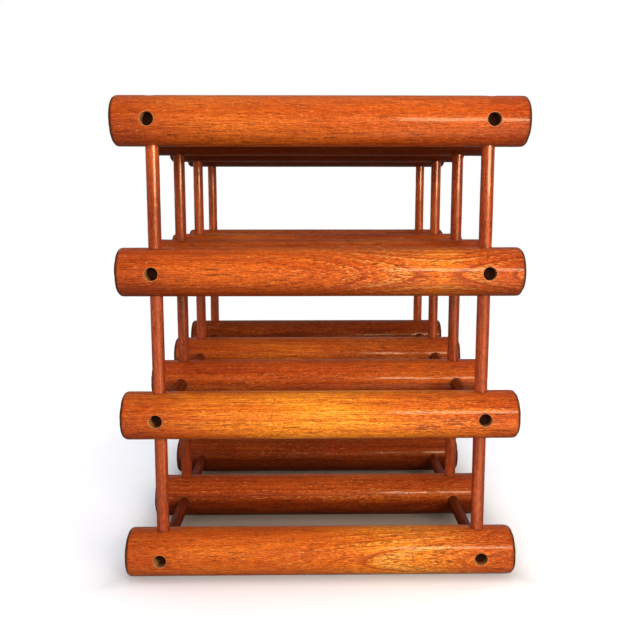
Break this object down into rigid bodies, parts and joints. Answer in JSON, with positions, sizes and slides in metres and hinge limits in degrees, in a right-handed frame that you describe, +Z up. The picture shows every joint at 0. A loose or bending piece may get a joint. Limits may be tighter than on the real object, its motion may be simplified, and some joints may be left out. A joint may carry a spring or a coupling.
{
  "type": "magazine rack",
  "caption": "Open cubic lattice rack of thick round wooden bars stacked in rows and planes and held apart by short pegs pushed into blind sockets near the bar ends.",
  "frame": {"origin": "on the floor, under the middle of the rack", "axes": "+X along the bars to the right, +Y from the front to the back, +Z up"},
  "size_m": [0.304, 0.3714, 0.3715],
  "materials": {
    "bar_wood": "oiled orange-brown teak, satin, fine dark pores along the bar",
    "peg_wood": "oiled red-brown hardwood dowel, satin"
  },
  "bodies": {
    "root": {"bar_bottom_front": "bar_wood", "bar_bottom_midfront": "bar_wood", "bar_bottom_midback": "bar_wood", "bar_bottom_back": "bar_wood", "bar_lower_front": "bar_wood", "bar_lower_midfront": "bar_wood", "bar_lower_midback": "bar_wood", "bar_lower_back": "bar_wood", "bar_upper_front": "bar_wood", "bar_upper_midfront": "bar_wood", "bar_upper_midback": "bar_wood", "bar_upper_back": "bar_wood", "bar_top_front": "bar_wood", "bar_top_midfront": "bar_wood", "bar_top_midback": "bar_wood", "bar_top_back": "bar_wood", "upright_peg_lowbay_front_left": "peg_wood", "upright_peg_lowbay_front_right": "peg_wood", "upright_peg_lowbay_midfront_left": "peg_wood", "upright_peg_lowbay_midfront_right": "peg_wood", "upright_peg_lowbay_midback_left": "peg_wood", "upright_peg_lowbay_midback_right": "peg_wood", "upright_peg_lowbay_back_left": "peg_wood", "upright_peg_lowbay_back_right": "peg_wood", "upright_peg_midbay_front_left": "peg_wood", "upright_peg_midbay_front_right": "peg_wood", "upright_peg_midbay_midfront_left": "peg_wood", "upright_peg_midbay_midfront_right": "peg_wood", "upright_peg_midbay_midback_left": "peg_wood", "upright_peg_midbay_midback_right": "peg_wood", "upright_peg_midbay_back_left": "peg_wood", "upright_peg_midbay_back_right": "peg_wood", "upright_peg_topbay_front_left": "peg_wood", "upright_peg_topbay_front_right": "peg_wood", "upright_peg_topbay_midfront_left": "peg_wood", "upright_peg_topbay_midfront_right": "peg_wood", "upright_peg_topbay_midback_left": "peg_wood", "upright_peg_topbay_midback_right": "peg_wood", "upright_peg_topbay_back_left": "peg_wood", "upright_peg_topbay_back_right": "peg_wood", "cross_pegs_bottom_frontbay": "peg_wood", "cross_pegs_bottom_centrebay": "peg_wood", "cross_pegs_bottom_rearbay": "peg_wood", "cross_pegs_lower_frontbay": "peg_wood", "cross_pegs_lower_centrebay": "peg_wood", "cross_pegs_lower_rearbay": "peg_wood", "cross_pegs_upper_frontbay": "peg_wood", "cross_pegs_upper_centrebay": "peg_wood", "cross_pegs_upper_rearbay": "peg_wood", "cross_pegs_top_frontbay": "peg_wood", "cross_pegs_top_centrebay": "peg_wood", "cross_pegs_top_rearbay": "peg_wood"}
  },
  "joints": []
}
